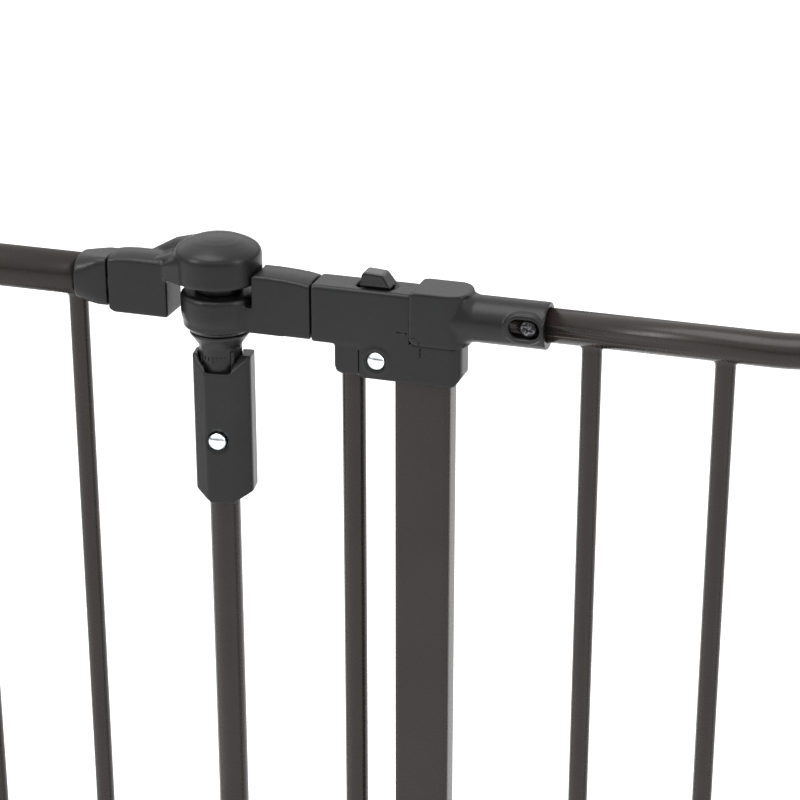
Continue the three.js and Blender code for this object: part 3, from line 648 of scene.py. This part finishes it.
def button_ring():
    """Raised rim round a spring button, as a turned profile pointing out of the moulding."""
    return [(0, 8.0), (7.4, 8.0), (7.3, 10.1), (6.5, 10.5), (5.8, 10.3), (5.5, 9.6), (0, 9.6)]


def rectangle(x, half_x, half_y, corner, steps=6):
    """Plan of a rounded rectangle centred on the X axis at x."""
    signs = ((-1, -1), (1, -1), (1, 1), (-1, 1))
    return rounded([(x + s * half_x, t * half_y, corner) for s, t in signs], steps)


def latch_housing():
    main = loft([
        (52.6, 9.7, -18.8, 10.6, 2.2, 1.6),
        (53.6, 10, -19.1, 11, 2, 1.6),
        (105, 10, -19.1, 11, 2, 1.6),
    ])
    bar_side = [(64.8, -14, 0), (64.8, -34.2, 4.5), (78, -34.6, 1.5), (78, -14, 0)]
    socket = prism(rounded(bar_side), -9.7, 9.7, "y")
    plan = rounded([(77.6, -10, 0.6), (130, -10, 6), (130, 10, 6), (77.6, 10, 0.6)])
    side = rounded([
        (77.6, -14.6, 0), (77.6, -35.2, 2), (126.8, -35.2, 2), (130.2, -30.4, 2.4),
        (130.2, -14.6, 0),
    ])
    skirt = carve(as_mesh(prism(plan, -40, -10), "skirt"), "INTERSECT", prism(side, -12, 12, "y"))
    skirt_bm = bmesh.new()
    skirt_bm.from_mesh(skirt)
    bridge = block(70, 84, -9, 9, -33, -15)
    tongue = block(103, 124, -7.5, 7.5, -16, -3)
    ring = lathe(button_ring(), 72, "-y", (LATCH_BUTTON_X, 0, -25.5))
    thumb = block(74, 92.8, -4.2, 4.2, 4, 14)
    bay = block(70, 104, -4, 4, -2, 7.5)
    bar_hole = rod("z", 6.3, -50, -22, (centre("side_bar").x, 0))
    post = prism(rectangle(LATCH_X, FLAT_HALF_X + 0.3, FLAT_HALF_Y + 0.3, 3.6), -50, -20)
    socket_hole = rod("x", 7.3, 50, 61.5, (0, -4))
    slit = block(77.2, 78.0, -12, -7.8, -37.5, -20.5)
    button_hole = rod("y", SNAP_HOLE, -12, 5, (LATCH_BUTTON_X, -25.5))
    end = 103.72
    end_face = [
        block(end, 107, -12, 12, -2.9, 16),
        block(end, 107, -12, -7.6, -14.7, -2.8),
        block(end, 107, 7.6, 12, -14.7, -2.8),
    ]
    ticks = [block(97.4, 102.8, -12, -9.3, -9.6, -8.5), block(109.0, 110.1, -12, -9.3, -21.6, -16)]
    crisp = [thumb, bay, bar_hole, button_hole, socket_hole, slit, *end_face, *ticks]
    solids = [main, socket, skirt_bm, bridge, tongue, ring]
    return moulding(solids, [oval_recess(), post], crisp=crisp)


def latch_cap():
    plan = rounded([(103.8, -12, 1.8), (133.6, -12, 12), (133.6, 12, 12), (103.8, 12, 1.8)], 10)
    side = rounded([(103.8, -14.4, 5), (134, -14.4, 3), (134, 13.2, 3), (103.8, 13.2, 3.6)], 8)
    hood = carve(as_mesh(prism(plan, -15, 14), "hood"), "INTERSECT", prism(side, -13, 13, "y"))
    hood_bm = bmesh.new()
    hood_bm.from_mesh(hood)
    sleeve_body = rod("x", 11.8, 124, 172.3, (0, -0.6))
    blend = hull(rod("x", 11.8, 131, 136, (0, -0.6)), block(122, 127, -9.5, 9.5, -12, 11.4))
    rim_outer = prism(capsule(152.2, 172.1, -6.8, 8.0), -12.5, -6, "y")
    cuts = [block(106, 125.4, -8.4, 8.4, -18, 0), block(100, 110, -4.2, 4.2, -18, 7.4)]
    slot = prism(capsule(154.6, 170.5, -4.7, 5.9), -14, -7, "y")
    bore = rod("x", SPIGOT_BORE, 138, 180)
    marks = [
        block(105.4, 107.8, -13, -11.4, -11.0, -10.1), block(109.0, 110.1, -13, -11.4, -15, -11.6),
    ]
    solids = [hood_bm, sleeve_body, blend, rim_outer]
    return moulding(solids, cuts, crisp=[slot, bore, *marks])


def thumb_slider():
    """Rounded grip with a steep back and a longer front slope; stem and bolt below."""
    profile = [(76.5, 11.35, 0.3), (77.9, 18.6, 2.2), (88.6, 18.0, 2.0), (93.3, 11.35, 0.3)]
    outline = rounded(profile)
    grip = as_mesh(prism(outline, -5.4, 5.4, "y"), "grip")
    taper = hull(block(76, 95, -5.4, 5.4, 11.3, 11.5), block(76, 95, -4.5, 4.5, 18.4, 18.6))
    grip = carve(grip, "INTERSECT", taper)
    bm = bmesh.new()
    bm.from_mesh(grip)
    stem = block(79, 92, -3.8, 3.8, 5.5, 12)
    bolt = block(77.6, 107.6, -3.5, 3.5, -1, 6.6)
    spring_seat = rod("x", 2.2, 70, 93, (0, 2.6), 32)
    return moulding([bm, stem, bolt], [], 0.26, 30, crisp=[spring_seat])


def pan_screw():
    """Pan-head screw with a cross recess, pointing along -Y."""
    r = 4.5
    profile = [(0, 0), (2.2, 0), (2.2, 7), (r - 0.1, 7), (r, 7.25), (r - 0.05, 7.9)]
    for k in range(1, 9):
        a = math.pi / 2 * k / 8
        profile.append(((r - 0.05) * math.cos(a) if k < 8 else 0, 7.9 + 1.7 * math.sin(a)))
    mesh = as_mesh(lathe(profile, 64, "-y", (0, -2.2, 0)), "screw")
    cross = []
    for turn in (0, 90):
        wing = hull(
            block(-2.9, 2.9, -13, -11.6, -0.62, 0.62), block(-0.9, 0.9, -9.6, -9.2, -0.5, 0.5)
        )
        wing.transform(Matrix.Rotation(math.radians(turn + 18), 4, "Y"))
        cross.append(wing)
    return carve(mesh, "DIFFERENCE", *cross)


show(latch_housing(), "latch_body", AT_RAIL, "door_frame", "black_plastic", ["latch_housing"])
show(latch_cap(), "latch_hood", AT_RAIL, "door_leaf", "black_plastic", ["latch_cap"])
show(thumb_slider(), "thumb_slide", AT_RAIL, "thumb_lock", "gloss_plastic", ["lock_slider"])
screw_at = centre("adjusting_screw")
at_slot = Matrix.Translation((screw_at.x, 0, RAIL_Z + 0.5))
show(pan_screw(), "pan_head_screw", GATE @ at_slot, "door_leaf", "black_screw",
     ["adjusting_screw"], bevel=0.08)
for node, body in (("latch_snap_button", "latch_button"), ("hinge_snap_button", "hinge_button")):
    at = centre(node)
    in_bore = Matrix.Translation((at.x, 0, at.z))
    show(shapes["short_snap"], body + "_head", GATE @ in_bore, body, "zinc", [node], bevel=0.2)


# ---------------------------------------------------------------- hinge end of the doorway


def hinge_housing():
    seam = RIGHT_X - 52
    post_x = centre("hinge_post").x
    left, right = SWING_X - 13, post_x + 20
    main = loft([
        (SWING_X, 10, -19.1, 11, 2, 1.6),
        (seam - 1.4, 10, -19.1, 11, 2, 1.6),
        (seam - 0.6, 9.6, -18.6, 10.4, 2.2, 1.6),
    ])
    plan = rounded([(left, -10, 6), (right, -10, 3), (right, 10, 3), (left, 10, 6)])
    side = rounded([
        (left - 0.3, -15, 0.6), (left - 0.3, -28.5, 2), (SWING_X - 7, -36, 2),
        (post_x + 17, -36, 3), (right, -31, 2), (right, -15, 0),
    ])
    skirt = carve(as_mesh(prism(plan, -40, -15), "skirt"), "INTERSECT", prism(side, -12, 12, "y"))
    skirt_bm = bmesh.new()
    skirt_bm.from_mesh(skirt)
    clear = rod("z", 16.5, -14.9, 20, (SWING_X, 0))
    post = prism(rectangle(post_x, FLAT_HALF_X + 0.3, FLAT_HALF_Y + 0.3, 3.6), -50, -20)
    ring = lathe(button_ring(), 72, "-y", (post_x + 3, 0, 2))
    pin_hole = rod("z", 4.3, -32, -10, (SWING_X, 0))
    button_hole = rod("y", SNAP_HOLE, -12, 5, (post_x + 3, 2))
    socket_hole = rod("x", 7.3, seam - 9.5, seam + 1, (0, -4))
    crisp = [pin_hole, button_hole, socket_hole]
    return moulding([main, skirt_bm, ring], [clear, post], crisp=crisp)


def hinge_cap():
    profile = [
        (0, -14.4), (12.6, -14.4), (13.3, -13.6), (13.3, 8.6), (12.6, 10.8), (10.6, 12.4),
        (8, 13.1), (0, 13.2),
    ]
    knuckle = lathe(profile, ROUND, "z", (SWING_X, 0, 0))
    tube = rod("x", 12.3, SWING_X - 46.8, SWING_X - 4, (0, -0.6))
    pin_hole = rod("z", 4.35, -20, 9.6, (SWING_X, 0))
    bores = [pin_hole, rod("x", SPIGOT_BORE, SWING_X - 60, SWING_X - 15)]
    return moulding([knuckle, tube], [], 0.6, 4, crisp=bores)


show(hinge_housing(), "hinge_body", AT_RAIL, "door_frame", "black_plastic", ["hinge_housing"])
show(hinge_cap(), "hinge_knuckle", AT_RAIL, "door_leaf", "black_plastic", ["hinge_cap"])


# ---------------------------------------------------------------- tubes


ARCH_HALF, ARCH_R = 108.3, 150.0


def arch_height(x, mid):
    """How far a rail's centre line is above its ends, at x."""
    bend = math.asin(ARCH_HALF / 2 / ARCH_R)
    rise = ARCH_R * (1 - math.cos(bend))
    away = abs(x - mid)
    if away >= ARCH_HALF:
        return 0.0
    if away >= ARCH_HALF / 2:
        return ARCH_R - math.sqrt(ARCH_R**2 - (ARCH_HALF - away) ** 2)
    return 2 * rise - (ARCH_R - math.sqrt(ARCH_R**2 - away**2))


def rail_mesh(x0, x1, mid, r, sides=48):
    """A tube along X at the rail's height, arched round mid, open at both ends."""
    steps = 40
    stations = [x0, mid - ARCH_HALF]
    stations += [mid - ARCH_HALF + ARCH_HALF * 2 * k / steps for k in range(1, steps + 1)]
    stations.append(x1)
    bm = bmesh.new()
    skins = []
    for radius in (r, r - TUBE_WALL):
        rings = []
        for x in stations:
            slope = arch_height(x + 0.5, mid) - arch_height(x - 0.5, mid)
            up = Vector((-slope, 0, 1)).normalized()
            middle = Vector((x, 0, arch_height(x, mid)))
            rings.append([
                bm.verts.new(middle + up * rise + Vector((0, across, 0)))
                for across, rise in circle(radius, sides)
            ])
        skins.append(rings)
    for rings in skins:
        for a, b in zip(rings, rings[1:]):
            for i in range(sides):
                j = (i + 1) % sides
                bm.faces.new((a[i], a[j], b[j], b[i]))
    for end in (0, -1):
        for i in range(sides):
            j = (i + 1) % sides
            outer, inner = skins[0][end], skins[1][end]
            bm.faces.new((outer[i], outer[j], inner[j], inner[i]))
    bmesh.ops.recalc_face_normals(bm, faces=bm.faces)
    return as_mesh(bm, "rail")


WELD = ((0, 2.6), (0.1, 1.6), (0.35, 0.9), (0.9, 0.25), (1.5, -0.7))


def welded_bar(x, low, rail_r, mid, low_rail=None, r=BAR_R, sides=40):
    """A bar from z = low up to the rail above it, its top spread into a small weld fillet that
    follows the rail. low_rail is (height, radius) of a rail it stands on, welded the same way."""
    bm = bmesh.new()

    def ring(spread, offset, top):
        out = []
        for px, py in circle(r + spread, sides):
            if top:
                base = RAIL_Z + arch_height(x + px, mid) - math.sqrt(max(rail_r**2 - py * py, 1))
                z = base - offset
            else:
                height, radius = low_rail
                z = height + math.sqrt(max(radius**2 - py * py, 1)) + offset
            out.append(bm.verts.new((x + px, py, z)))
        return out

    if low_rail:
        rings = [ring(spread, offset, False) for spread, offset in WELD[::-1]]
    else:
        rings = [[bm.verts.new((x + px, py, low)) for px, py in circle(r, sides)]]
    rings += [ring(spread, offset, True) for spread, offset in WELD]
    for a, b in zip(rings, rings[1:]):
        for i in range(sides):
            j = (i + 1) % sides
            bm.faces.new((a[i], a[j], b[j], b[i]))
    bm.faces.new(rings[0][::-1])
    bm.faces.new(rings[-1])
    bmesh.ops.recalc_face_normals(bm, faces=bm.faces)
    return bm


def straight_tube(x0, x1, r, z):
    mesh = tube_mesh(r, x0, x1)
    mesh.transform(Matrix.Translation((0, 0, z)) @ Matrix.Rotation(math.pi / 2, 4, "Y"))
    return mesh


def x_range(node):
    low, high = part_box(node)
    return low.x / MM, high.x / MM


door_mid = centre("door_bar_4").x
rail_low, rail_high = x_range("door_top_rail")
screw_hole = rod("y", 2.5, -12, -1, (screw_at.x, 0), 32)
door_rail = rail_mesh(rail_low, rail_high, door_mid, DOOR_RAIL_R)
door_rail = carve(door_rail, "DIFFERENCE", screw_hole)
show(door_rail, "door_upper_tube", AT_RAIL, "door_leaf", "bronze_coat", ["door_top_rail"])
DOOR_LOW_Z = centre("door_bottom_rail").z
low_x = x_range("door_bottom_rail")
show(straight_tube(*low_x, DOOR_RAIL_R, DOOR_LOW_Z), "door_lower_tube", GATE, "door_leaf",
     "bronze_coat", ["door_bottom_rail"], bevel=0.3)
for k in range(1, 8):
    node = "door_bar_%d" % k
    bar = welded_bar(centre(node).x, 0, DOOR_RAIL_R, door_mid, (DOOR_LOW_Z, DOOR_RAIL_R))
    show(as_mesh(bar, node), "door_rod_%d" % k, GATE, "door_leaf", "bronze_coat", [node])

panel_low, panel_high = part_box("left_bar_grille")
end_x = centre("left_end_post").x
panel_low_z = panel_low.z / MM + PANEL_RAIL_R
panel_mid = FIRST_BAR_X - PANEL_PITCH * (PANEL_BARS - 1) / 2
top_tube = rail_mesh(end_x - 12, PANEL_RAIL_END, panel_mid, PANEL_RAIL_R)
low_rail = (panel_low_z, PANEL_RAIL_R)
comb = [
    welded_bar(FIRST_BAR_X - PANEL_PITCH * k, 0, PANEL_RAIL_R, panel_mid, low_rail)
    for k in range(PANEL_BARS)
]
bottom_tube = straight_tube(panel_low.x / MM, panel_high.x / MM, PANEL_RAIL_R, panel_low_z)
tube_bm = bmesh.new()
tube_bm.from_mesh(bottom_tube)
comb_mesh = as_mesh(joined(*comb, tube_bm), "comb")
end_tube = as_mesh(welded_bar(end_x, FOOT_TOP, PANEL_RAIL_R, panel_mid, r=POST_R), "end_post")
for side, (place, panel) in SIDES.items():
    body = side + "_panel"
    at_rail = GATE @ panel @ Matrix.Translation((0, 0, RAIL_Z))
    pieces = (
        (top_tube, "_upper_tube", at_rail, "_top_rail"),
        (comb_mesh, "_welded_comb", GATE @ panel, "_bar_grille"),
        (end_tube, "_wall_post", GATE @ panel, "_end_post"),
    )
    for mesh, name, at, node in pieces:
        show(mesh, side + name, at, body, "bronze_coat", [side + node])

side_low, side_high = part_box("side_bar")
side_tube = tube_mesh(SIDE_BAR_R, side_low.z / MM, side_high.z / MM)
side_at = Matrix.Translation((centre("side_bar").x, 0, 0))
show(side_tube, "side_rod", GATE @ side_at, "door_frame", "bronze_coat", ["side_bar"], bevel=0.3)


def flat_post(node):
    """Rectangular tube with rounded corners, open at both ends."""
    low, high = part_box(node)
    mid = centre(node).x
    outer = rectangle(mid, FLAT_HALF_X, FLAT_HALF_Y, 3.5, 10)
    inner = rectangle(mid, 13.2, 6.2, 2.4, 8)
    body = as_mesh(prism(outer, low.z / MM, high.z / MM), "post")
    return carve(body, "DIFFERENCE", prism(inner, 0, RAIL_Z))


for node in ("latch_post", "hinge_post"):
    show(flat_post(node), node + "_tube", GATE, "door_frame", "bronze_coat", [node], bevel=0.3)


# ---------------------------------------------------------------- floor and wall mouldings


def softened(node, name, body, voxel=0.8, rounds=4):
    """The node's own solid with its facets blended and its edges moulded round."""
    mesh = frame["nodes"][node].data.copy()
    mesh.transform(Matrix.Scale(1 / MM, 4))
    mesh = fused(mesh, voxel, rounds)
    return show(mesh, name, GATE, body, slots[node], [node])


for side in SIDES:
    softened(side + "_bottom_eye", side + "_floor_eye", "door_frame")
    softened(side + "_foot", side + "_floor_pad", "door_frame")
    for end in ("panel_bottom_eye", "end_foot", "wall_bracket_top", "wall_bracket_bottom"):
        softened(side + "_" + end, side + "_soft_" + end, side + "_panel")
softened("bottom_catch", "floor_catch", "door_frame", 0.6)
softened("bottom_hinge_cap", "lower_knuckle", "door_leaf", 0.7)
softened("bottom_latch_cap", "lower_lug_cap", "door_leaf", 0.7)


# ---------------------------------------------------------------- stage, light and camera


def plain_material(name, colour, roughness):
    mat = bpy.data.materials.new(name)
    mat.use_nodes = True
    shader = mat.node_tree.nodes["Principled BSDF"]
    shader.inputs["Base Color"].default_value = (*colour, 1)
    shader.inputs["Roughness"].default_value = roughness
    return mat


floor_bm = bmesh.new()
bmesh.ops.create_grid(floor_bm, x_segments=2, y_segments=2, size=12)
floor = linked(as_mesh(floor_bm, "floor"), "floor")
floor.data.materials.append(plain_material("pale_floor", (0.93, 0.93, 0.93), 0.9))

world = bpy.data.worlds.new("studio")
scene.world = world
world.use_nodes = True
sky_nodes, sky_links = world.node_tree.nodes, world.node_tree.links
sky_nodes["Background"].inputs["Strength"].default_value = 1.0
upward = sky_nodes.new("ShaderNodeSeparateXYZ")
sky_links.new(sky_nodes.new("ShaderNodeTexCoord").outputs["Generated"], upward.inputs["Vector"])
sky = sky_nodes.new("ShaderNodeValToRGB")
sky.color_ramp.elements[0].position = 0.0
sky.color_ramp.elements[0].color = (0.08, 0.08, 0.08, 1)
horizon = sky.color_ramp.elements.new(0.3)
horizon.color = (1.4, 1.4, 1.4, 1)
sky.color_ramp.elements[2].position = 0.9
sky.color_ramp.elements[2].color = (1.6, 1.6, 1.6, 1)
sky_links.new(upward.outputs["Z"], sky.inputs["Fac"])
sky_links.new(sky.outputs["Color"], sky_nodes["Background"].inputs["Color"])


def softbox(name, at, target, size, power):
    light = bpy.data.lights.new(name, "AREA")
    light.shape = "RECTANGLE"
    light.size, light.size_y = size
    light.energy = power
    obj = bpy.data.objects.new(name, light)
    scene.collection.objects.link(obj)
    obj.location = at
    obj.rotation_mode = "QUATERNION"
    obj.rotation_quaternion = (Vector(target) - Vector(at)).to_track_quat("-Z", "Y")
    return obj


focus = (0.12, 0.0, RAIL_Z * MM)
softbox("overhead", (-0.3, -0.5, 2.4), focus, (1.6, 1.2), 26)
softbox("key_left", (-1.6, -1.5, 1.7), focus, (0.5, 0.9), 18)
softbox("strip_right", (1.9, -0.5, 1.3), focus, (0.25, 1.2), 10)

camera = bpy.data.cameras.new("camera")
camera.lens = 108
camera.sensor_width = 36
camera.clip_start = 0.05
camera.clip_end = 60
eye = bpy.data.objects.new("camera", camera)
scene.collection.objects.link(eye)
AZIMUTH, ELEVATION = math.radians(17.78), math.radians(22.33)
eye.location = (0.4363, -1.0609, RAIL_Z * MM + 0.4087)
level = math.cos(ELEVATION)
look = Vector((-math.sin(AZIMUTH) * level, math.cos(AZIMUTH) * level, -math.sin(ELEVATION)))
eye.rotation_mode = "QUATERNION"
eye.rotation_quaternion = look.to_track_quat("-Z", "Y")
scene.camera = eye
scene.view_settings.view_transform = "Standard"
